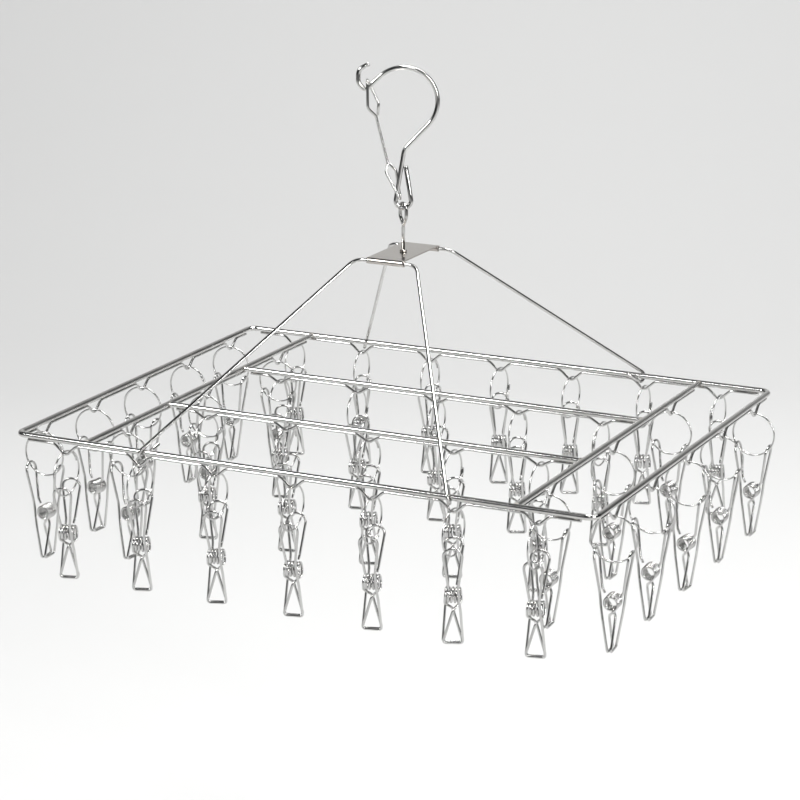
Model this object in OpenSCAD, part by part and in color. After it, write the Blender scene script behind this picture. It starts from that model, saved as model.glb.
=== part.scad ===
// Clip drying hanger, all wire: a swivelling hook with a wire latch carries a
// small plate, two bent stays and a rectangular rod rack with 40 spring clips.
// Millimetres. Origin: inside top of the hook's arc, where it rests on a rod.
// X along the rack's long side, Y front (-) to rear (+), Z up.

/* [Rack frame] */
// length of the outer frame along X, between rod centre lines
frame_l = 440; // [300:5:560]
// width of the outer frame along Y, between rod centre lines
frame_w = 340; // [240:5:420]
// outer frame rod diameter
rod_d = 4.2; // [3:0.1:6]
// inner rod diameter
inner_rod_d = 4.0; // [3:0.1:6]
// bend radius of the frame's four corners
corner_r = 7; // [4:0.5:20]
// distance of each crossbar from the middle
crossbar_x = 164; // [120:1:200]
// distance of each inner rail from the middle
inner_rail_y = 56; // [40:1:90]
// depth of the frame's plane below the hook's resting point
drop = 249.5; // [200:0.5:300]

/* [Hanging wires] */
// diameter of the wave-bent wires welded under the rods
wave_d = 2.0; // [1.5:0.1:3]
// depth of a dip's wire centre below the outer rods' plane
dip_z = 9.8; // [7:0.1:14]
// depth of a dip's wire centre below the inner rails' plane
inner_dip_z = 7.4; // [6:0.1:12]
// half width of a dip at its shoulders
dip_half = 9; // [6:0.5:12]
// clip spacing along the front and rear rails
pitch_front = 60; // [45:1:70]
// clip spacing along the inner rails
pitch_inner = 66; // [50:1:75]
// clip spacing along the left and right rails
pitch_side = 68; // [50:1:75]
// clip spacing along the crossbars
pitch_bar = 112; // [90:1:130]

/* [Rings] */
// ring centre line radius
ring_r = 16; // [12:0.5:20]
// ring wire diameter
ring_wire = 1.3; // [1:0.1:2]

/* [Clips] */
// clip wire diameter
clip_wire = 1.5; // [1.2:0.1:2]
// coil centre line radius
coil_r = 4.95; // [4:0.05:7]
// coil depth below the ring's centre
coil_drop = 43.4; // [36:0.2:50]
// jaw tip depth below the coil
jaw_z = 33; // [25:0.5:40]
// half width of a jaw loop
jaw_half = 6.4; // [4:0.1:9]
// height of the handle tops above the coil
handle_z = 35.9; // [30:0.1:40]
// handle tops' distance from the clip's middle
handle_y = 12.2; // [8:0.1:14]
// half width of a handle loop
handle_half = 6.0; // [4:0.1:8]

/* [Plate and stays] */
// plate length along X
plate_l = 33; // [25:1:50]
// distance of each rolled edge from the middle
roll_y = 28; // [20:0.5:40]
// height of the rolled edges above the frame's plane
roll_z = 117; // [90:1:140]
// sheet thickness of the plate
sheet = 0.7; // [0.5:0.1:1.2]
// stay wire diameter
stay_d = 2.6; // [2:0.1:4]
// where the stays meet the rails, from the middle
foot_x = 116; // [112:0.5:122]
// length of the turned-up stay ends
foot_return = 17; // [8:1:25]

/* [Hook] */
// hook wire diameter
hook_d = 3.0; // [2.5:0.1:5]
// latch wire diameter
latch_d = 1.8; // [1.2:0.1:2.4]
// eye wire diameter
eye_d = 2.6; // [2:0.1:3.5]
// turn of the hook's plane about the vertical, degrees
hook_turn = 26; // [0:1:90]

/* [Hidden] */
$fn = 48;
eps = 0.02;            // butt and weld gap between welded rods
run = 0.3;             // running clearance between moving wires
overlap = 0.2;         // length by which a bend reaches into the straight wires beside it
skin = 0.02;           // a bend is this much thinner than its wire, so that no two surfaces coincide
rod_r = rod_d / 2;
inner_r = inner_rod_d / 2;
wave_r = wave_d / 2;
wire_r = clip_wire / 2;
half_l = frame_l / 2;
half_w = frame_w / 2;
ring_lift = ring_r - wave_r - ring_wire / 2 - 0.25; // ring centre below the dip wire
coil_pitch = 1.44;
coil_first = wire_r + run / 2;
row_front = [for (i = [-3:3]) i * pitch_front];
row_inner = [for (i = [-2:2]) i * pitch_inner];
row_side = [for (i = [-2:2]) i * pitch_side];
row_bar = [for (i = [-1:1]) i * pitch_bar];

// ---- bent wire: straight cylinders joined by torus bends -------------------
function unit(v) = v / norm(v);
function turn_at(p, i) =
    let (u = unit(p[i] - p[i - 1]), v = unit(p[i + 1] - p[i])) acos(max(-1, min(1, u * v)));
function tangent_at(p, r, i) =
    (i == 0 || i == len(p) - 1) ? 0
    : min(r[i] * tan(turn_at(p, i) / 2), 0.46 * norm(p[i] - p[i - 1]), 0.46 * norm(p[i + 1] - p[i]));

module rod_between(a, b, r) {
    v = b - a;
    translate(a) rotate([0, acos(v[2] / norm(v)), atan2(v[1], v[0])]) cylinder(h = norm(v), r = r);
}

module bend(p, i, t, r) {
    u = unit(p[i] - p[i - 1]);
    v = unit(p[i + 1] - p[i]);
    beta = turn_at(p, i);
    big = t / tan(beta / 2);
    w = unit(v - (u * v) * u);
    k = cross(u, w);
    o = p[i] - t * u + big * w;
    over = overlap / big * 180 / PI;
    rows = [for (a = [0:2]) [-w[a], u[a], k[a], o[a]]];
    multmatrix(concat(rows, [[0, 0, 0, 1]]))
        rotate([0, 0, -over])
            rotate_extrude(angle = beta + 2 * over) translate([big, 0]) circle(r = r - skin);
}

module bent_wire(p, r, d) {
    n = len(p);
    for (i = [0:n - 2]) {
        u = unit(p[i + 1] - p[i]);
        rod_between(p[i] + tangent_at(p, r, i) * u, p[i + 1] - tangent_at(p, r, i + 1) * u, d / 2);
    }
    for (i = [1:1:n - 2])
        bend(p, i, tangent_at(p, r, i), d / 2);
}

// ---- hook, latch, eye ------------------------------------------------------
// hook plane: first number along the hook's plane, second above the frame's plane
arc_c = [0, 227];
arc_r = 24;
function on_arc(mid, half) = arc_c + arc_r / cos(half) * [cos(mid), sin(mid)];
shank_top = [0.6, 192.6];
shank_low = [-6.2, 150.8];
hook_path = [[-22.6, 253.2], [-30.7, 250.4], [-31.0, 240.3], [-27.3, 236.3],
             on_arc(86.6, 43.4), on_arc(-0.1, 43.4), shank_top, shank_low, [6.3, 150.8], [1.7, 181]];
hook_radii = [0, 4, 4, 3.5, arc_r, arc_r, 10, 5.2, 5.2, 0];

module hook_frame() rotate([0, 0, hook_turn]) translate([0, 0, -drop]) children();

module hook() color([0.78, 0.79, 0.80]) hook_frame()
    bent_wire([for (q = hook_path) [q[0], 0, q[1]]], hook_radii, hook_d);

latch_n = hook_d / 2 + latch_d / 2 + 0.35;
latch_path = [[-18.0, latch_n, 216.6], [-17.4, latch_n, 225], [-25.2, latch_n, 242.1],
              [-25.2, -latch_n, 242.1], [-25.0, -latch_n, 222.6], [-19.2, -0.2, 216.6],
              [-10.9, 0, 182.6], [-12.2, -latch_n, 176.5], [-2.1, -latch_n, 157.6],
              [-2.1, latch_n, 157.6], [-5.2, latch_n, 177.2], [-9.8, latch_n, 182.0]];
latch_radii = [0, 5, latch_n - 0.1, latch_n - 0.1, 5, 5, 4, 4, latch_n - 0.1, latch_n - 0.1, 4, 0];

module hook_latch() color([0.74, 0.75, 0.76]) hook_frame() bent_wire(latch_path, latch_radii, latch_d);

eye_crown = shank_low[1] + hook_d / 2 + 0.4 + eye_d / 2;
eye_half = 3.9;
plate_z = roll_z + 1.5;   // underside of the plate's sheet
head_z = plate_z - run - 1.8;
module swivel_eye() color([0.78, 0.79, 0.80]) hook_frame() {
    bent_wire([[0, 0, head_z + 0.9], [0, 0, 138.2], [0, -eye_half - 0.3, 144.6], [0, -eye_half, eye_crown],
               [0, eye_half, eye_crown], [0, eye_half + 0.3, 144.6], [0, 0.7, 139.4]],
              [0, 5, 5, eye_half - 0.15, eye_half - 0.15, 4, 0], eye_d);
    translate([0, 0, head_z]) cylinder(h = 1.8, r = 3.4);
    translate([0, 0, plate_z + sheet + run]) cylinder(h = 1.2, r = 2.6);
}

// ---- plate and stays -------------------------------------------------------
roll_in = stay_d / 2 + run;
roll_out = roll_in + sheet;
module top_plate() color([0.70, 0.70, 0.69]) translate([0, 0, -drop]) difference() {
    union() {
        translate([-plate_l / 2, -roll_y, plate_z]) cube([plate_l, 2 * roll_y, sheet]);
        for (s = [-1, 1]) translate([-plate_l / 2 - 0.5, s * roll_y, roll_z]) rotate([0, 90, 0])
            cylinder(h = plate_l + 1, r = roll_out);
    }
    for (s = [-1, 1]) translate([-plate_l, s * roll_y, roll_z]) rotate([0, 90, 0])
        cylinder(h = 2 * plate_l, r = roll_in);
    translate([0, 0, plate_z - 5]) cylinder(h = 10, r = eye_d / 2 + run);
}

// a stay: straight through the roll, down to the rail, turned back under it
stay_bend = 10;
top_x = plate_l / 2 + 7.5;
module stay(gap) {
    off = rod_r + stay_d / 2 + gap;
    reach = [half_w - roll_y, -roll_z];
    tilt = asin(off / norm(reach));
    ang = atan2(reach[1], reach[0]) + tilt;
    run_l = sqrt(reach * reach - off * off);
    touch = [foot_x, roll_y + run_l * cos(ang), roll_z + run_l * sin(ang)];
    nrm = unit([0, touch[1] - half_w, touch[2]]);
    dir = unit(touch - [top_x, roll_y, roll_z]);
    low = touch + (off + 0.6) * dir;
    back = low - 2 * off * nrm;
    leg = [[top_x, roll_y, roll_z], low, back, back - foot_return * dir];
    mir = [for (i = [3:-1:0]) [-leg[i][0], leg[i][1], leg[i][2]]];
    foot = off - 0.05;
    bent_wire(concat(mir, leg), [0, foot, foot, stay_bend, stay_bend, foot, foot, 0], stay_d);
}
module rear_stay() color([0.76, 0.77, 0.78]) translate([0, 0, -drop]) stay(0.65);
module front_stay() color([0.76, 0.77, 0.78]) rotate([0, 0, 180]) translate([0, 0, -drop]) stay(run);

// ---- frame -----------------------------------------------------------------
module outer_frame() color([0.80, 0.81, 0.82]) translate([0, 0, -drop]) {
    for (s = [-1, 1]) {
        translate([-half_l + corner_r, s * half_w, 0]) rotate([0, 90, 0])
            cylinder(h = frame_l - 2 * corner_r, r = rod_r);
        translate([s * half_l, -half_w + corner_r, 0]) rotate([-90, 0, 0])
            cylinder(h = frame_w - 2 * corner_r, r = rod_r);
    }
    for (i = [0:3]) {
        sx = (i == 0 || i == 3) ? 1 : -1;
        sy = (i < 2) ? 1 : -1;
        translate([sx * (half_l - corner_r), sy * (half_w - corner_r), 0]) rotate([0, 0, 90 * i - 2])
            rotate_extrude(angle = 94) translate([corner_r, 0]) circle(r = rod_r - skin);
    }
}

module along_y(x, l, r) translate([x, -l / 2, -drop]) rotate([-90, 0, 0]) cylinder(h = l, r = r);
module along_x(y, l, r) translate([-l / 2, y, -drop]) rotate([0, 90, 0]) cylinder(h = l, r = r);
bar_l = frame_w - 2 * rod_r - 2 * eps;
rail_l = 2 * (crossbar_x - inner_r - eps);
module left_crossbar() color([0.80, 0.81, 0.82]) along_y(-crossbar_x, bar_l, inner_r);
module right_crossbar() color([0.80, 0.81, 0.82]) along_y(crossbar_x, bar_l, inner_r);
module front_inner_rail() color([0.80, 0.81, 0.82]) along_x(-inner_rail_y, rail_l, inner_r);
module rear_inner_rail() color([0.80, 0.81, 0.82]) along_x(inner_rail_y, rail_l, inner_r);

// ---- wave-bent hanging wires -----------------------------------------------
// drawn along X under a rod on the X axis
apex_r = 4;
// the dip's sharp corner, below the rounded bottom that the ring hangs in
function dip_corner(flat, dip) = dip + apex_r * (1 / cos(atan((dip + 1.35 - flat) / dip_half)) - 1);
module wave(row, l, rod, dip) {
    flat = rod + wave_r + eps;
    bottom = dip_corner(flat, dip);
    pts = concat([[-l / 2, 0, -flat]],
                 [for (x = row) for (j = [-1:1]) [x + j * dip_half, 0, j == 0 ? -bottom : -flat]],
                 [[l / 2, 0, -flat]]);
    rads = concat([0], [for (x = row) for (j = [-1:1]) j == 0 ? apex_r : 6], [0]);
    bent_wire(pts, rads, wave_d);
}
module row_at(p, turn) translate([p[0], p[1], -drop]) rotate([0, 0, turn]) children();
steel = [0.74, 0.75, 0.77];
module front_wave_wire() color(steel) row_at([0, -half_w], 0) wave(row_front, frame_l - 18, rod_r, dip_z);
module rear_wave_wire() color(steel) row_at([0, half_w], 0) wave(row_front, frame_l - 18, rod_r, dip_z);
module left_wave_wire() color(steel) row_at([-half_l, 0], 90) wave(row_side, frame_w - 18, rod_r, dip_z);
module right_wave_wire() color(steel) row_at([half_l, 0], 90) wave(row_side, frame_w - 18, rod_r, dip_z);
module left_bar_wave_wire() color(steel) row_at([-crossbar_x, 0], 90)
    wave(row_bar, frame_w - 22, inner_r, dip_z);
module right_bar_wave_wire() color(steel) row_at([crossbar_x, 0], 90)
    wave(row_bar, frame_w - 22, inner_r, dip_z);
module front_inner_wave_wire() color(steel) row_at([0, -inner_rail_y], 0)
    wave(row_inner, 2 * crossbar_x - 14, inner_r, inner_dip_z);
module rear_inner_wave_wire() color(steel) row_at([0, inner_rail_y], 0)
    wave(row_inner, 2 * crossbar_x - 14, inner_r, inner_dip_z);

// ---- rings -----------------------------------------------------------------
module rings(row, dip) color([0.79, 0.80, 0.81])
    for (x = row) translate([x, 0, -dip - ring_lift]) rotate([0, 90, 0])
        rotate_extrude() translate([ring_r, 0]) circle(d = ring_wire);

// ---- one lever of a clip, the one on the +Y side; coil centre at the origin ----
// its wire: coil, inner leg across to the jaw, jaw bar, outer leg past the coil, handle, free end
jaw_y = wire_r + 0.35;
coil_last = coil_first + 2 * coil_pitch;
// where the inner leg, having crossed over, turns down to the jaw
cross_over = [-0.3, 2.2, -13];
far = norm([cross_over[1], cross_over[2]]);
lean = atan2(-cross_over[2], -cross_over[1]) + asin(coil_r / far);
tangent_l = sqrt(far * far - coil_r * coil_r);
leave = [-coil_last, cross_over[1] + tangent_l * cos(lean), cross_over[2] + tangent_l * sin(lean)];
pass_y = coil_r + 2 * wire_r + run + 0.14;   // outer leg beside the coil
kink_z = -11;
kink = [-jaw_half - 0.5, pass_y + (handle_y - pass_y) / handle_z * kink_z, kink_z];
module lever() {
    for (k = [0:2]) translate([-coil_first - k * coil_pitch, 0, 0]) rotate([0, 90, 0])
        rotate_extrude() translate([coil_r, 0]) circle(r = wire_r);
    bent_wire([leave, cross_over, [jaw_half, jaw_y, -jaw_z], [-jaw_half, jaw_y, -jaw_z],
               kink, [-4.3, pass_y, 0],
               [-handle_half, handle_y, handle_z], [handle_half, handle_y, handle_z], [2.4, 7.7, 6.6]],
              [0, 6, 2.5, 2.5, 8, 12, 5.4, 5.4, 0], clip_wire - 2 * skin);
}
module clips(row, dip, flip) color([0.72, 0.73, 0.74])
    for (x = row) translate([x, 0, -dip - ring_lift - coil_drop]) rotate([0, 0, flip ? 180 : 0]) lever();

module front_rings() row_at([0, -half_w], 0) rings(row_front, dip_z);
module front_clips_a() row_at([0, -half_w], 0) clips(row_front, dip_z, true);
module front_clips_b() row_at([0, -half_w], 0) clips(row_front, dip_z, false);
module rear_rings() row_at([0, half_w], 0) rings(row_front, dip_z);
module rear_clips_a() row_at([0, half_w], 0) clips(row_front, dip_z, true);
module rear_clips_b() row_at([0, half_w], 0) clips(row_front, dip_z, false);
module left_rings() row_at([-half_l, 0], 90) rings(row_side, dip_z);
module left_clips_a() row_at([-half_l, 0], 90) clips(row_side, dip_z, true);
module left_clips_b() row_at([-half_l, 0], 90) clips(row_side, dip_z, false);
module right_rings() row_at([half_l, 0], 90) rings(row_side, dip_z);
module right_clips_a() row_at([half_l, 0], 90) clips(row_side, dip_z, true);
module right_clips_b() row_at([half_l, 0], 90) clips(row_side, dip_z, false);
module left_bar_rings() row_at([-crossbar_x, 0], 90) rings(row_bar, dip_z);
module left_bar_clips_a() row_at([-crossbar_x, 0], 90) clips(row_bar, dip_z, true);
module left_bar_clips_b() row_at([-crossbar_x, 0], 90) clips(row_bar, dip_z, false);
module right_bar_rings() row_at([crossbar_x, 0], 90) rings(row_bar, dip_z);
module right_bar_clips_a() row_at([crossbar_x, 0], 90) clips(row_bar, dip_z, true);
module right_bar_clips_b() row_at([crossbar_x, 0], 90) clips(row_bar, dip_z, false);
module front_inner_rings() row_at([0, -inner_rail_y], 0) rings(row_inner, inner_dip_z);
module front_inner_clips_a() row_at([0, -inner_rail_y], 0) clips(row_inner, inner_dip_z, true);
module front_inner_clips_b() row_at([0, -inner_rail_y], 0) clips(row_inner, inner_dip_z, false);
module rear_inner_rings() row_at([0, inner_rail_y], 0) rings(row_inner, inner_dip_z);
module rear_inner_clips_a() row_at([0, inner_rail_y], 0) clips(row_inner, inner_dip_z, true);
module rear_inner_clips_b() row_at([0, inner_rail_y], 0) clips(row_inner, inner_dip_z, false);

hook();
hook_latch();
swivel_eye();
top_plate();
front_stay();
rear_stay();
outer_frame();
left_crossbar();
right_crossbar();
front_inner_rail();
rear_inner_rail();
front_wave_wire();
rear_wave_wire();
left_wave_wire();
right_wave_wire();
left_bar_wave_wire();
right_bar_wave_wire();
front_inner_wave_wire();
rear_inner_wave_wire();
front_rings();
front_clips_a();
front_clips_b();
rear_rings();
rear_clips_a();
rear_clips_b();
left_rings();
left_clips_a();
left_clips_b();
right_rings();
right_clips_a();
right_clips_b();
left_bar_rings();
left_bar_clips_a();
left_bar_clips_b();
right_bar_rings();
right_bar_clips_a();
right_bar_clips_b();
front_inner_rings();
front_inner_clips_a();
front_inner_clips_b();
rear_inner_rings();
rear_inner_clips_a();
rear_inner_clips_b();
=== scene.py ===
import math
import random
from collections import namedtuple

import bpy
from mathutils import Matrix, Vector


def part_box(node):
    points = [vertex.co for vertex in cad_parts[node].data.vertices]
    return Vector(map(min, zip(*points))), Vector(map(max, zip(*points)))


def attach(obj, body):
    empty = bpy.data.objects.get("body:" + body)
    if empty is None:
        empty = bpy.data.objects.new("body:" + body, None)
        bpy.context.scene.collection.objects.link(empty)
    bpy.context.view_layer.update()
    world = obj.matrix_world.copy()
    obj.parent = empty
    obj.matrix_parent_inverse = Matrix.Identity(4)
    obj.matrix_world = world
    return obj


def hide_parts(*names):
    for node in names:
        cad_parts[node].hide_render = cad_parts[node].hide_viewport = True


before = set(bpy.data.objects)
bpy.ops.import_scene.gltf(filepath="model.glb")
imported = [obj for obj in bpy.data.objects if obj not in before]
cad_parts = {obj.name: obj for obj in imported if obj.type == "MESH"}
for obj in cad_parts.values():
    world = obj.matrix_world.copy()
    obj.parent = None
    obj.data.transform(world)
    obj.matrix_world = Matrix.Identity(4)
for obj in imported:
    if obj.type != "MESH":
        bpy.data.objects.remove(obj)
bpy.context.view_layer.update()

# ---- driving dimensions, in metres; the origin is where the hook rests on its rod ----
MM = 0.001
low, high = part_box("outer_frame")
ROD_D = high.z - low.z
ROD_R = ROD_D / 2
HALF_L = (high.x - low.x - ROD_D) / 2
HALF_W = (high.y - low.y - ROD_D) / 2
FRAME_Z = (high.z + low.z) / 2
DROP = -FRAME_Z
low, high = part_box("right_crossbar")
BAR_X = (low.x + high.x) / 2
INNER_R = (high.x - low.x) / 2
low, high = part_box("rear_inner_rail")
RAIL_Y = (low.y + high.y) / 2
CORNER_R = 7 * MM

# wave wires: wire radius, half width of a dip at its shoulders, depth of a dip below the rods' plane
WAVE_R = 1.0 * MM
DIP_HALF = 9 * MM
DIP_Z = 9.8 * MM
INNER_DIP_Z = 7.4 * MM
WELD_GAP = 0.02 * MM

# rings: centre line radius, wire diameter, depth of the centre below the dip's wire
RING_R = 16 * MM
RING_WIRE = 1.3 * MM
RING_LIFT = RING_R - WAVE_R - RING_WIRE / 2 - 0.25 * MM

# clips: wire diameter, coil centre line radius, depth of the coil below the ring's centre
CLIP_WIRE = 1.8 * MM
COIL_R = 4.7 * MM
COIL_DROP = 43.4 * MM

# one row of clips: its rail's place and turn about Z, rod radius, dip depth, and its wave wire's length
Row = namedtuple("Row", "x y turn rod_r dip clips pitch wire_length")
ALONG_FRAME = 2 * HALF_L - 18 * MM
ACROSS_FRAME = 2 * HALF_W - 18 * MM
ALONG_BAR = 2 * HALF_W - 22 * MM
ALONG_INNER = 2 * BAR_X - 14 * MM
ROWS = {
    "front": Row(0, -HALF_W, 0, ROD_R, DIP_Z, 7, 60 * MM, ALONG_FRAME),
    "rear": Row(0, HALF_W, 0, ROD_R, DIP_Z, 7, 60 * MM, ALONG_FRAME),
    "left": Row(-HALF_L, 0, 90, ROD_R, DIP_Z, 5, 68 * MM, ACROSS_FRAME),
    "right": Row(HALF_L, 0, 90, ROD_R, DIP_Z, 5, 68 * MM, ACROSS_FRAME),
    "left_bar": Row(-BAR_X, 0, 90, INNER_R, DIP_Z, 3, 112 * MM, ALONG_BAR),
    "right_bar": Row(BAR_X, 0, 90, INNER_R, DIP_Z, 3, 112 * MM, ALONG_BAR),
    "front_inner": Row(0, -RAIL_Y, 0, INNER_R, INNER_DIP_Z, 5, 66 * MM, ALONG_INNER),
    "rear_inner": Row(0, RAIL_Y, 0, INNER_R, INNER_DIP_Z, 5, 66 * MM, ALONG_INNER),
}


# ---- materials -------------------------------------------------------------
def node(tree, kind, **sockets):
    """A new node with the given values on its input sockets."""
    made = tree.nodes.new(kind)
    for name, value in sockets.items():
        made.inputs[name.replace("_", " ")].default_value = value
    return made


def steel(name, colour, rough, coords, stretch, lines=0.25):
    """Bright stainless steel: drawing lines along the wire, fine pits, dull and warm patches.

    coords is the texture coordinate output, and stretch scales it so that the noise is long along the grain.
    """
    mat = bpy.data.materials.new(name)
    mat.use_nodes = True
    tree = mat.node_tree
    tree.nodes.clear()
    link = tree.links.new
    out = tree.nodes.new("ShaderNodeOutputMaterial")
    bsdf = node(tree, "ShaderNodeBsdfPrincipled", Metallic=1.0)
    link(bsdf.outputs[0], out.inputs[0])
    where = tree.nodes.new("ShaderNodeTexCoord")
    grain_map = node(tree, "ShaderNodeMapping", Scale=stretch)
    link(where.outputs[coords], grain_map.inputs["Vector"])
    grain = node(tree, "ShaderNodeTexNoise", Scale=1.0, Detail=5.0, Roughness=0.62)
    link(grain_map.outputs[0], grain.inputs["Vector"])
    blotch = node(tree, "ShaderNodeTexNoise", Scale=46.0, Detail=3.0, Roughness=0.55)
    link(where.outputs["Object"], blotch.inputs["Vector"])
    specks = node(tree, "ShaderNodeTexNoise", Scale=2600.0, Detail=2.0, Roughness=0.5)
    link(where.outputs["Object"], specks.inputs["Vector"])

    tone = tree.nodes.new("ShaderNodeValToRGB")
    tone.color_ramp.elements[0].position = 0.30
    tone.color_ramp.elements[0].color = (*[c * 0.80 for c in colour], 1)
    tone.color_ramp.elements[1].position = 0.72
    tone.color_ramp.elements[1].color = (*colour, 1)
    link(blotch.outputs["Fac"], tone.inputs["Fac"])
    scored = node(tree, "ShaderNodeMixRGB", Fac=lines)
    scored.blend_type = "MULTIPLY"
    link(tone.outputs[0], scored.inputs["Color1"])
    link(grain.outputs["Fac"], scored.inputs["Color2"])
    link(scored.outputs[0], bsdf.inputs["Base Color"])

    dull = tree.nodes.new("ShaderNodeMapRange")
    dull.inputs["From Min"].default_value = 0.35
    dull.inputs["From Max"].default_value = 0.70
    dull.inputs["To Min"].default_value = rough * 0.72
    dull.inputs["To Max"].default_value = rough * 1.45
    both = tree.nodes.new("ShaderNodeMath")
    both.operation = "MULTIPLY_ADD"
    both.inputs[1].default_value = 0.5
    link(blotch.outputs["Fac"], both.inputs[0])
    half = tree.nodes.new("ShaderNodeMath")
    half.operation = "MULTIPLY"
    half.inputs[1].default_value = 0.5
    link(grain.outputs["Fac"], half.inputs[0])
    link(half.outputs[0], both.inputs[2])
    link(both.outputs[0], dull.inputs["Value"])
    link(dull.outputs[0], bsdf.inputs["Roughness"])

    drawn = node(tree, "ShaderNodeBump", Strength=0.10, Distance=0.00006)
    link(grain.outputs["Fac"], drawn.inputs["Height"])
    pits = node(tree, "ShaderNodeBump", Strength=0.08, Distance=0.00004)
    link(specks.outputs["Fac"], pits.inputs["Height"])
    link(drawn.outputs[0], pits.inputs["Normal"])
    link(pits.outputs[0], bsdf.inputs["Normal"])
    return mat


ALONG_WIRE = (70.0, 16.0, 1.0)
ROD_COLOUR = (0.72, 0.715, 0.70)
ROD_STEEL = steel("rod_steel", ROD_COLOUR, 0.17, "UV", ALONG_WIRE)
ROD_X_STEEL = steel("rod_steel_x", ROD_COLOUR, 0.17, "Object", (70.0, 1900.0, 1900.0))
ROD_Y_STEEL = steel("rod_steel_y", ROD_COLOUR, 0.17, "Object", (1900.0, 70.0, 1900.0))
FINE_STEEL = steel("fine_wire_steel", (0.70, 0.70, 0.69), 0.20, "UV", (90.0, 9.0, 1.0))
SPRING_STEEL = steel("spring_steel", (0.68, 0.68, 0.67), 0.19, "UV", (110.0, 8.0, 1.0))
HOOK_STEEL = steel("hook_steel", (0.73, 0.725, 0.71), 0.15, "UV", ALONG_WIRE)
PLATE_STEEL = steel("plate_steel", (0.60, 0.565, 0.53), 0.19, "Object", (60.0, 2400.0, 2400.0), lines=0.18)
WELD_STEEL = steel("weld_steel", (0.50, 0.47, 0.43), 0.38, "Object", (900.0, 900.0, 900.0), lines=0.4)


# ---- swept wire ------------------------------------------------------------
UV_PER_METRE = 10


def rounded(corners, radii, step=math.radians(9)):
    """The corners as a smooth route: each inner corner becomes an arc of its radius, or of what fits."""
    route = [Vector(corners[0])]
    for before, at, after, radius in zip(corners, corners[1:], corners[2:], radii[1:-1]):
        before, at, after = Vector(before), Vector(at), Vector(after)
        u, v = (at - before).normalized(), (after - at).normalized()
        turn = u.angle(v)
        if turn < 1e-3 or radius <= 0:
            route.append(at)
            continue
        back = min(radius * math.tan(turn / 2), 0.47 * (at - before).length, 0.47 * (after - at).length)
        radius = back / math.tan(turn / 2)
        inward = (v - u * u.dot(v)).normalized()
        start = at - u * back
        centre = start + inward * radius
        count = max(2, math.ceil(turn / step))
        for i in range(count + 1):
            a = turn * i / count
            route.append(centre - inward * radius * math.cos(a) + u * radius * math.sin(a))
    route.append(Vector(corners[-1]))
    return route


def wire_mesh(name, route, radius, sides=12, closed=False, chamfer=0.25):
    """A round wire along a route, with slightly broken ends, u along the wire and v round it."""
    route = [p for i, p in enumerate(route) if i == 0 or (p - route[i - 1]).length > 1e-6]
    if not closed:
        first, last = (route[1] - route[0]).normalized(), (route[-1] - route[-2]).normalized()
        cut = radius * chamfer
        rims = [1 - chamfer] + [1.0] * len(route) + [1 - chamfer]
        route = [route[0], route[0] + first * cut] + route[1:-1] + [route[-1] - last * cut, route[-1]]
    else:
        rims = [1.0] * len(route)
    count = len(route)
    verts, uvs, dist = [], [], 0.0
    normal = None
    for i, p in enumerate(route):
        ahead = route[(i + 1) % count] if closed else route[min(i + 1, count - 1)]
        behind = route[i - 1] if closed or i else route[0]
        along = (ahead - behind).normalized()
        if normal is None:
            pick = Vector((0, 0, 1)) if abs(along.z) < 0.9 else Vector((1, 0, 0))
            normal = (pick - along * pick.dot(along)).normalized()
        else:
            normal = (normal - along * normal.dot(along)).normalized()
            dist += (p - route[i - 1]).length
        side = along.cross(normal)
        for k in range(sides):
            a = 2 * math.pi * k / sides
            verts.append(p + (normal * math.cos(a) + side * math.sin(a)) * radius * rims[i])
        uvs.append(dist)
    faces, face_uvs = [], []
    rings = count if closed else count - 1
    for i in range(rings):
        j = (i + 1) % count
        far = uvs[j] if j else dist + (route[0] - route[-1]).length
        for k in range(sides):
            m = (k + 1) % sides
            faces.append((i * sides + k, i * sides + m, j * sides + m, j * sides + k))
            low, top = k / sides, (k + 1) / sides
            face_uvs += [(uvs[i], low), (uvs[i], top), (far, top), (far, low)]
    if not closed:
        for start, order in ((0, -1), ((count - 1) * sides, 1)):
            faces.append(tuple(range(start, start + sides))[::order])
            face_uvs += [(0.0, k / sides) for k in range(sides)]
    mesh = bpy.data.meshes.new(name)
    mesh.from_pydata(verts, [], faces)
    layer = mesh.uv_layers.new(name="UVMap")
    for loop, (along_wire, round_wire) in zip(layer.data, face_uvs):
        loop.uv = (along_wire * UV_PER_METRE, round_wire)
    mesh.polygons.foreach_set("use_smooth", [len(f) == 4 for f in faces])
    mesh.update()
    return mesh


def piece(name, mesh, material, body, place=None, replaces=()):
    """One visible piece that rides on a CAD body and stands in for the nodes it replaces."""
    obj = bpy.data.objects.new(name, mesh)
    bpy.context.scene.collection.objects.link(obj)
    if not mesh.materials:
        mesh.materials.append(material)
    if place is not None:
        obj.matrix_world = place
    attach(obj, body)
    if replaces:
        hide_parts(*replaces)
    return obj


# ---- hook, latch and eye, in millimetres above the frame's plane ------------
HOOK_TURN = math.radians(26)
HOOK_PLACE = Matrix.Rotation(HOOK_TURN, 4, "Z") @ Matrix.Translation((0, 0, -DROP))
HOOK_D, LATCH_D, EYE_D = 3.3, 2.0, 2.6
ARC_CENTRE_Z, ARC_R = 227.0, 24.15
RUN = 0.3  # clearance between parts that move on each other
PLATE_UNDER, SHEET = 118.5, 0.7
HEAD_TOP = PLATE_UNDER - RUN


def wire_piece(name, corners, radii, diameter, material, body, place, sides=16):
    """A bent wire, all its sizes in millimetres, that replaces the CAD node of the same name."""
    points = [tuple(c * MM for c in p) for p in corners]
    route = rounded(points, [r * MM for r in radii], math.radians(7))
    mesh = wire_mesh(name, route, diameter * MM / 2, sides)
    piece(name, mesh, material, body, place, (name,))


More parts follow.
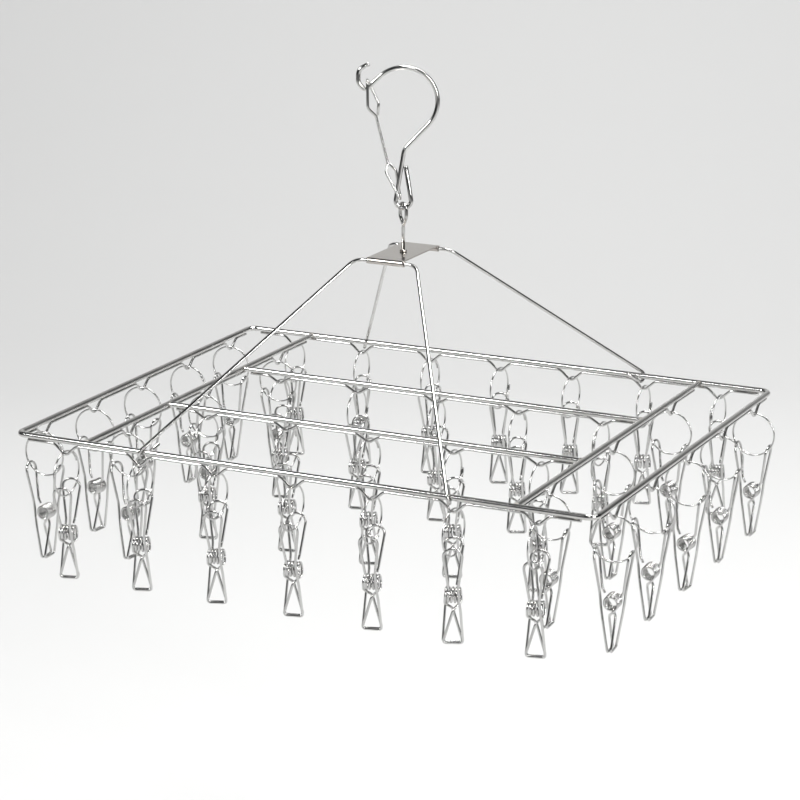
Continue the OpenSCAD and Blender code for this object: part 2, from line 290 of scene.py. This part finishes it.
def on_arc(degrees):
    a = math.radians(degrees)
    return Vector((ARC_R * math.cos(a), 0, ARC_CENTRE_Z + ARC_R * math.sin(a)))


def make_hook():
    """Curled tip, round arc, straight down to the neck, then the narrow U that the eye hangs in."""
    first, sweep, steps = 135, 178, 40
    arc = [on_arc(first - sweep * i / steps) for i in range(steps + 1)]
    tip = rounded([(-23.8, 0, 253.8), (-31.5, 0, 249.6), (-31.6, 0, 240.0), (-27.0, 0, 234.8), arc[0]],
                  [0, 6.2, 6.2, 3.0, 0], math.radians(5))
    foot = rounded([arc[-1], (0.6, 0, 192.6), (-6.2, 0, 150.8), (6.3, 0, 150.8), (1.7, 0, 181)],
                   [0, 10, 5.2, 5.2, 0], math.radians(5))
    route = [p * MM for p in tip[:-1] + arc + foot[1:]]
    mesh = wire_mesh("hook", route, HOOK_D * MM / 2, 20)
    piece("hook", mesh, HOOK_STEEL, "hook", HOOK_PLACE, ("hook",))


def make_latch():
    """A thin wire with a long loop at each end, one leg of each loop on either side of the hook's wire."""
    side = (HOOK_D + LATCH_D) / 2 + 0.2
    bend = side - 0.1
    upper = [(-18.0, side, 216.6), (-17.4, side, 225), (-25.2, side, 242.1), (-25.2, -side, 242.1),
             (-25.0, -side, 222.6), (-19.2, -0.2, 216.6)]
    lower = [(-10.9, 0, 182.6), (-12.2, -side, 176.5), (-2.1, -side, 157.6), (-2.1, side, 157.6),
             (-5.2, side, 177.2), (-9.8, side, 182.0)]
    radii = [0, 5, bend, bend, 5, 5, 4, 4, bend, bend, 4, 0]
    wire_piece("hook_latch", upper + lower, radii, LATCH_D, HOOK_STEEL, "latch", HOOK_PLACE)


def turned(name, outline, sides=40):
    """A body turned about Z from (radius, height) points in millimetres."""
    verts, faces = [], []
    for r, z in outline:
        for k in range(sides):
            a = 2 * math.pi * k / sides
            verts.append((r * math.cos(a) * MM, r * math.sin(a) * MM, z * MM))
    for i in range(len(outline) - 1):
        for k in range(sides):
            m = (k + 1) % sides
            faces.append((i * sides + k, i * sides + m, (i + 1) * sides + m, (i + 1) * sides + k))
    faces.append(tuple(range(sides))[::-1])
    faces.append(tuple((len(outline) - 1) * sides + k for k in range(sides)))
    mesh = bpy.data.meshes.new(name)
    mesh.from_pydata(verts, [], faces)
    mesh.update()
    return mesh


def make_eye():
    """A long wire eye in the hook's U, its shank through the plate, a head below it and a washer above."""
    half, crown, shoulder, neck = 3.9, 154.0, 144.6, 138.2
    head = HEAD_TOP - 1.8
    corners = [(0, 0, head + 0.9), (0, 0, neck), (0, -half - 0.3, shoulder), (0, -half, crown),
               (0, half, crown), (0, half + 0.3, shoulder), (0, 0.7, neck + 1.2)]
    radii = [0, 5, 5, half - 0.15, half - 0.15, 4, 0]
    place = HOOK_PLACE @ Matrix.Rotation(math.radians(32), 4, "Z")
    wire_piece("swivel_eye", corners, radii, EYE_D, HOOK_STEEL, "eye", place)
    head_mesh = turned("swivel_head", [(1.2, head - 0.5), (2.6, head - 0.35), (3.3, head + 0.1),
                                       (3.4, head + 0.6), (3.4, head + 1.5), (3.1, head + 1.8)])
    piece("swivel_head", head_mesh, PLATE_STEEL, "eye", HOOK_PLACE)
    seat = PLATE_UNDER + SHEET + RUN
    washer_mesh = turned("swivel_washer", [(2.5, seat), (2.6, seat + 0.15), (2.6, seat + 0.9),
                                           (2.3, seat + 1.2), (1.4, seat + 1.2)])
    piece("swivel_washer", washer_mesh, PLATE_STEEL, "eye", HOOK_PLACE)


# ---- plate and stays, in millimetres above the frame's plane ----------------
PLATE_L, ROLL_Y, ROLL_Z, STAY_D = 29.0, 28.0, 117.0, 2.6
ROLL_R = STAY_D / 2 + RUN + SHEET / 2


def plate_profile():
    """The sheet's middle line across the plate, as (y, z): a roll, the flat and the other roll."""
    seam, steps, flat = math.radians(318), 30, 15
    profile = []
    for i in range(steps + 1):
        a = math.radians(90) + seam * (1 - i / steps)
        profile.append((-ROLL_Y + ROLL_R * math.cos(a), ROLL_Z + ROLL_R * math.sin(a)))
    for i in range(1, flat):
        profile.append((-ROLL_Y + 2 * ROLL_Y * i / flat, PLATE_UNDER + SHEET / 2))
    for i in range(steps + 1):
        a = math.radians(90) - seam * i / steps
        profile.append((ROLL_Y + ROLL_R * math.cos(a), ROLL_Z + ROLL_R * math.sin(a)))
    return profile


def finish_plate(obj, cutter):
    """Gives the sheet its thickness, the hole for the eye and broken edges, and applies them."""
    thick = obj.modifiers.new("sheet", "SOLIDIFY")
    thick.thickness = SHEET * MM
    thick.offset = 0
    hole = obj.modifiers.new("hole", "BOOLEAN")
    hole.object = cutter
    hole.solver = "EXACT"
    soft = obj.modifiers.new("edges", "BEVEL")
    soft.width = 0.15 * MM
    soft.segments = 2
    soft.limit_method = "ANGLE"
    soft.angle_limit = math.radians(50)
    bpy.context.view_layer.update()
    ready = bpy.data.meshes.new_from_object(obj.evaluated_get(bpy.context.evaluated_depsgraph_get()))
    obj.modifiers.clear()
    obj.data = ready
    ready.polygons.foreach_set("use_smooth", [True] * len(ready.polygons))
    ready.set_sharp_from_angle(angle=math.radians(38))


def make_plate():
    """One sheet: flat in the middle, both long ends rolled down and round the stays."""
    profile = plate_profile()
    columns = 22
    across = [-PLATE_L / 2 + PLATE_L * k / columns for k in range(columns + 1)]
    verts = [(x * MM, y * MM, z * MM) for y, z in profile for x in across]
    wide = len(across)
    faces = []
    for i in range(len(profile) - 1):
        for k in range(wide - 1):
            faces.append((i * wide + k, i * wide + k + 1, (i + 1) * wide + k + 1, (i + 1) * wide + k))
    mesh = bpy.data.meshes.new("top_plate")
    mesh.from_pydata(verts, [], faces)
    mesh.update()
    place = Matrix.Translation((0, 0, -DROP))
    obj = piece("top_plate", mesh, PLATE_STEEL, "plate", place, ("top_plate",))

    hole_r = EYE_D / 2 + RUN
    hole_mesh = turned("plate_hole_cutter", [(hole_r, PLATE_UNDER - 3), (hole_r, PLATE_UNDER + 4)])
    cutter = bpy.data.objects.new("plate_hole_cutter", hole_mesh)
    bpy.context.scene.collection.objects.link(cutter)
    cutter.matrix_world = place
    finish_plate(obj, cutter)
    bpy.data.objects.remove(cutter)


def stay_corners(gap):
    """The same route as the CAD stay: through the roll, down to the rail, round under it and back up.

    gap is the clearance between the stay's hook and the rail; the second value is the hook's half width.
    """
    foot_x, top_x, back_l = 116.0, 24.0, 17.0
    off = ROD_R / MM + STAY_D / 2 + gap
    reach = (HALF_W / MM - ROLL_Y, -ROLL_Z)
    far = math.hypot(*reach)
    angle = math.atan2(reach[1], reach[0]) + math.asin(off / far)
    run = math.sqrt(far * far - off * off)
    touch = Vector((foot_x, ROLL_Y + run * math.cos(angle), ROLL_Z + run * math.sin(angle)))
    normal = Vector((0, touch.y - HALF_W / MM, touch.z)).normalized()
    top = Vector((top_x, ROLL_Y, ROLL_Z))
    down = (touch - top).normalized()
    low_end = touch + down * (off + 0.6)
    back = low_end - normal * 2 * off
    leg = [top, low_end, back, back - down * back_l]
    return [Vector((-p.x, p.y, p.z)) for p in reversed(leg)] + leg, off


def make_stays():
    for name, gap, turn in (("front_stay", 0.3, math.pi), ("rear_stay", 0.65, 0.0)):
        corners, off = stay_corners(gap)
        bend = off - 0.05
        radii = [0, bend, bend, 10, 10, bend, bend, 0]
        place = Matrix.Rotation(turn, 4, "Z") @ Matrix.Translation((0, 0, -DROP))
        wire_piece(name, corners, radii, STAY_D, ROD_STEEL, name, place, 18)


# ---- frame rods, wave wires and welds --------------------------------------
def make_outer_frame():
    """The frame's closed loop of rod, one bent corner after another."""
    corners, steps = [], 8
    for quarter, (sx, sy) in enumerate(((1, 1), (-1, 1), (-1, -1), (1, -1))):
        for i in range(steps + 1):
            a = math.radians(90 * quarter + 90 * i / steps)
            corners.append(Vector((sx * (HALF_L - CORNER_R) + CORNER_R * math.cos(a),
                                   sy * (HALF_W - CORNER_R) + CORNER_R * math.sin(a), FRAME_Z)))
    mesh = wire_mesh("outer_frame", corners, ROD_R, 20, closed=True)
    piece("outer_frame", mesh, ROD_STEEL, "frame", replaces=("outer_frame",))


def weld_mesh(length, width, height, rng):
    """A small lumpy bead, longest along X."""
    verts, faces = [], []
    rings, sides = 7, 10
    for i in range(rings + 1):
        a = math.pi * i / rings
        for k in range(sides):
            b = 2 * math.pi * k / sides
            swell = 1 + rng.uniform(-0.10, 0.10)
            verts.append((-math.cos(a) * length / 2, math.sin(a) * math.cos(b) * width / 2 * swell,
                          math.sin(a) * math.sin(b) * height / 2 * swell))
    for i in range(rings):
        for k in range(sides):
            m = (k + 1) % sides
            faces.append((i * sides + k, i * sides + m, (i + 1) * sides + m, (i + 1) * sides + k))
    mesh = bpy.data.meshes.new("bead")
    mesh.from_pydata(verts, [], faces)
    mesh.polygons.foreach_set("use_smooth", [True] * len(faces))
    mesh.update()
    return mesh


def make_welds(name, beads):
    """Weld beads, as (mesh, matrix) pairs, joined into one piece that rides on the frame."""
    objs = []
    for mesh, place in beads:
        obj = bpy.data.objects.new(name, mesh)
        bpy.context.scene.collection.objects.link(obj)
        obj.matrix_world = place
        objs.append(obj)
    bpy.context.view_layer.update()
    with bpy.context.temp_override(active_object=objs[0], selected_editable_objects=objs):
        bpy.ops.object.join()
    welds = objs[0]
    welds.data.transform(welds.matrix_world)
    welds.matrix_world = Matrix.Identity(4)
    welds.data.materials.append(WELD_STEEL)
    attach(welds, "frame")


def row_place(row):
    return Matrix.Translation((row.x, row.y, -DROP)) @ Matrix.Rotation(math.radians(row.turn), 4, "Z")


def row_spots(row):
    """The dips' places along the row."""
    return [(i - (row.clips - 1) / 2) * row.pitch for i in range(row.clips)]


def make_wave_wires():
    """Under each rod, a wire that dips down for each ring, welded at both ends of each of its flats."""
    rng = random.Random(11)
    shoulder_bend, dip_bend, sharp_depth = 6 * MM, 4 * MM, 1.35 * MM
    from_end, short_flat = 4 * MM, 8 * MM
    for name, row in ROWS.items():
        flat = -(row.rod_r + WAVE_R + WELD_GAP)
        slope = math.atan((row.dip + sharp_depth + flat) / DIP_HALF)
        bottom = -(row.dip + dip_bend * (1 / math.cos(slope) - 1))
        half = row.wire_length / 2
        corners, radii, stops = [(-half, 0, flat)], [0], [-half]
        for x in row_spots(row):
            corners += [(x - DIP_HALF, 0, flat), (x, 0, bottom), (x + DIP_HALF, 0, flat)]
            radii += [shoulder_bend, dip_bend, shoulder_bend]
            stops += [x - DIP_HALF, x + DIP_HALF]
        route = rounded(corners + [(half, 0, flat)], radii + [0], math.radians(8))
        stops.append(half)
        wire = name + "_wave_wire"
        mesh = wire_mesh(wire, route, WAVE_R, 14)
        piece(wire, mesh, FINE_STEEL, "frame", row_place(row), (wire,))

        beads = []
        for start, stop in zip(stops[::2], stops[1::2]):
            spots = [start + from_end, stop - from_end]
            if stop - start < short_flat:
                spots = [(start + stop) / 2]
            for x in spots:
                bead = weld_mesh(rng.uniform(3.0, 4.0) * MM, 1.9 * MM, 1.1 * MM, rng)
                beads.append((bead, row_place(row) @ Matrix.Translation((x, 0, -row.rod_r - 0.1 * MM))))
        make_welds(name + "_wave_welds", beads)


def make_rod_welds():
    """A bead above and below each butt joint between the rods."""
    rng = random.Random(5)
    joints = []
    for sx in (-1, 1):
        for sy in (-1, 1):
            joints.append((sx * BAR_X, sy * (HALF_W - ROD_R), 90))
            joints.append((sx * (BAR_X - INNER_R), sy * RAIL_Y, 0))
    beads = []
    for x, y, turn in joints:
        for side in (-1, 1):
            bead = weld_mesh(1.5 * MM, 4.4 * MM, 1.3 * MM, rng)
            place = Matrix.Translation((x, y, -DROP + side * 1.5 * MM))
            beads.append((bead, place @ Matrix.Rotation(math.radians(turn), 4, "Z")))
    make_welds("rod_welds", beads)


def finish_cad_rods():
    """The straight rods stay as the CAD made them, with brushed steel on them."""
    for name in ("left_crossbar", "right_crossbar", "front_inner_rail", "rear_inner_rail"):
        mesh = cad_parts[name].data
        mesh.materials.clear()
        mesh.materials.append(ROD_Y_STEEL if name.endswith("crossbar") else ROD_X_STEEL)


# ---- rings and clips -------------------------------------------------------
def ring_mesh(name, lap_at):
    """An open ring of round wire whose ends lie beside each other for a tenth of a turn, from lap_at on."""
    steps, lap = 54, math.radians(38)
    shift = RING_WIRE * 1.12
    route = []
    for i in range(steps + 1):
        t = i / steps
        a = lap_at + (2 * math.pi + lap) * t
        route.append(Vector(((t - 0.5) * shift, RING_R * math.cos(a), RING_R * math.sin(a))))
    return wire_mesh(name, route, RING_WIRE / 2, 12)


def lever_mesh():
    """The lever on the +Y side of a clip, from the middle of the coil round its jaw loop and handle loop.

    The coil's centre is the origin and its axis is X. Sizes are in millimetres: half width, distance from
    the clip's middle, and height or depth, of the jaw and of the handle.
    """
    jaw_half, jaw_y, jaw_z = 6.8, 1.15, 33.4
    handle_half, handle_y, handle_z = 7.1, 12.3, 35.9
    coil, coil_half, middle_gap = COIL_R / MM, 5.0, 0.25
    pass_y = 6.85  # where the handle's leg passes beside the coil
    crossing = Vector((-0.3, 2.2, -9.8))  # where the two levers' inner legs cross, under the coil
    leave = math.atan2(-crossing.z, -crossing.y) + math.asin(coil / math.hypot(crossing.y, crossing.z))
    turns = 2 + leave / (2 * math.pi)
    steps = 60
    helix = []
    for i in range(steps + 1):
        a = math.pi / 2 + 2 * math.pi * turns * i / steps
        spread = middle_gap * min(1, 2 * turns * i / steps)
        helix.append(Vector((-coil_half * i / steps - spread, coil * math.cos(a), coil * math.sin(a))))
    tangent = (helix[-1] - helix[-2]).normalized()
    jaw = [helix[-1], helix[-1] + 2.6 * tangent, crossing,
           (jaw_half, jaw_y, -jaw_z), (-jaw_half, jaw_y, -jaw_z)]
    leg = [(-5.4, 5.25, -11), (-4.3, pass_y, -2), (-3.6, pass_y + 1.1, 7)]
    handle = [(-handle_half, handle_y, handle_z), (handle_half, handle_y, handle_z),
              (2.9, 8.1, 8.4), (2.3, 6.0, 4.7)]
    radii = [0, 8, 5, 1.9, 1.9] + [5, 9, 10] + [6.4, 6.4, 2.2, 0]
    route = rounded([Vector(c) for c in jaw + leg + handle], radii, math.radians(13))
    return wire_mesh("clip_lever", [p * MM for p in helix[:-1] + route], CLIP_WIRE / 2, 10)


def make_rows():
    """In each dip a ring, and on it a clip of two levers, each turned a little by chance."""
    rng = random.Random(38)
    lever = lever_mesh()
    half_turn = Matrix.Rotation(math.pi, 4, "Z")
    laps = (20, 140, 205, 320, 265)
    ring_kinds = [ring_mesh("clip_ring_%d" % k, math.radians(a)) for k, a in enumerate(laps)]
    for name, row in ROWS.items():
        facing = 0 if row.turn else 17
        for i, x in enumerate(row_spots(row)):
            ring_place = row_place(row) @ Matrix.Translation((x, 0, -row.dip - RING_LIFT))
            ring_twist = Matrix.Rotation(math.radians(rng.uniform(-4, 4)), 4, "Z")
            clip_twist = Matrix.Rotation(math.radians(facing + rng.uniform(-7, 7)), 4, "Z")
            ring = ring_kinds[rng.randrange(len(ring_kinds))]
            clip_place = ring_place @ Matrix.Translation((0, 0, -COIL_DROP)) @ clip_twist
            for kind, mesh, material, slot, group, place in (
                    ("ring", ring, FINE_STEEL, "fine_wire_steel", "_rings", ring_place @ ring_twist),
                    ("lever_b", lever, SPRING_STEEL, "spring_steel", "_clips_b", clip_place),
                    ("lever_a", lever, SPRING_STEEL, "spring_steel", "_clips_a", clip_place @ half_turn)):
                tag = "%s_%s_%d" % (kind, name, i + 1)
                piece(tag, mesh, material, name + group, place, (name + group,))


# ---- camera, floor and light, in metres ------------------------------------
VIEW_AZIMUTH, VIEW_ELEVATION, VIEW_DISTANCE = math.radians(26.17), math.radians(15.62), 2.0935


def make_camera():
    data = bpy.data.cameras.new("camera")
    data.sensor_width = 36
    data.lens = 130.2
    data.clip_end = 20
    cam = bpy.data.objects.new("camera", data)
    bpy.context.scene.collection.objects.link(cam)
    level = math.cos(VIEW_ELEVATION)
    back = Vector((math.sin(VIEW_AZIMUTH) * level, -math.cos(VIEW_AZIMUTH) * level, math.sin(VIEW_ELEVATION)))
    target = Vector((-0.0026, 0, 0.0088 - DROP))
    cam.location = target + back * VIEW_DISTANCE
    cam.rotation_euler = (-back).to_track_quat("-Z", "Y").to_euler()
    bpy.context.scene.camera = cam


def make_stage():
    """A pale floor that curves up behind into a backdrop, well below the hanging clips."""
    floor_z, near, far, half, bend, wall = -DROP - 0.42, -6.0, 3.2, 6.0, 1.6, 5.0
    profile, steps = [(near, floor_z)], 12
    for i in range(steps + 1):
        a = math.radians(90) * i / steps
        profile.append((far - bend + bend * math.sin(a), floor_z + bend * (1 - math.cos(a))))
    profile.append((far, floor_z + wall))
    verts = [(x, y, z) for y, z in profile for x in (-half, half)]
    faces = [(2 * i, 2 * i + 1, 2 * i + 3, 2 * i + 2) for i in range(len(profile) - 1)]
    mesh = bpy.data.meshes.new("backdrop")
    mesh.from_pydata(verts, [], faces)
    mesh.polygons.foreach_set("use_smooth", [True] * len(faces))
    obj = bpy.data.objects.new("backdrop", mesh)
    bpy.context.scene.collection.objects.link(obj)
    obj.matrix_world = Matrix.Rotation(VIEW_AZIMUTH, 4, "Z")
    mat = bpy.data.materials.new("pale_floor")
    mat.use_nodes = True
    bsdf = mat.node_tree.nodes["Principled BSDF"]
    bsdf.inputs["Base Color"].default_value = (0.66, 0.66, 0.655, 1)
    bsdf.inputs["Roughness"].default_value = 0.9
    mesh.materials.append(mat)


def area_light(name, place, aim, size, power):
    data = bpy.data.lights.new(name, "AREA")
    data.shape = "RECTANGLE"
    data.size, data.size_y = size
    data.energy = power
    lamp = bpy.data.objects.new(name, data)
    bpy.context.scene.collection.objects.link(lamp)
    lamp.location = place
    lamp.rotation_euler = (Vector(aim) - Vector(place)).to_track_quat("-Z", "Y").to_euler()


def make_light():
    """Soft boxes round the rack, one on the backdrop, and a weak sky."""
    middle = (0, 0, -DROP)
    area_light("key", (-1.5, -2.0, 1.6), middle, (0.5, 1.0), 52)
    area_light("side", (2.2, -0.9, 0.6), middle, (0.3, 1.4), 36)
    area_light("top", (0.1, 0.1, 2.1), middle, (1.2, 0.4), 44)
    area_light("front", (1.5, -2.2, 1.1), middle, (0.35, 0.35), 7)
    area_light("wall", (0.6, 0.6, 1.7), (-0.8, 2.6, -0.3), (1.6, 0.5), 46)
    world = bpy.data.worlds.new("studio")
    bpy.context.scene.world = world
    world.use_nodes = True
    sky = world.node_tree.nodes["Background"]
    sky.inputs["Color"].default_value = (0.75, 0.78, 0.82, 1)
    sky.inputs["Strength"].default_value = 0.05
    bpy.context.scene.view_settings.view_transform = "Standard"


make_camera()
make_stage()
make_light()
finish_cad_rods()
make_outer_frame()
make_wave_wires()
make_rod_welds()
make_rows()
make_hook()
make_latch()
make_eye()
make_plate()
make_stays()
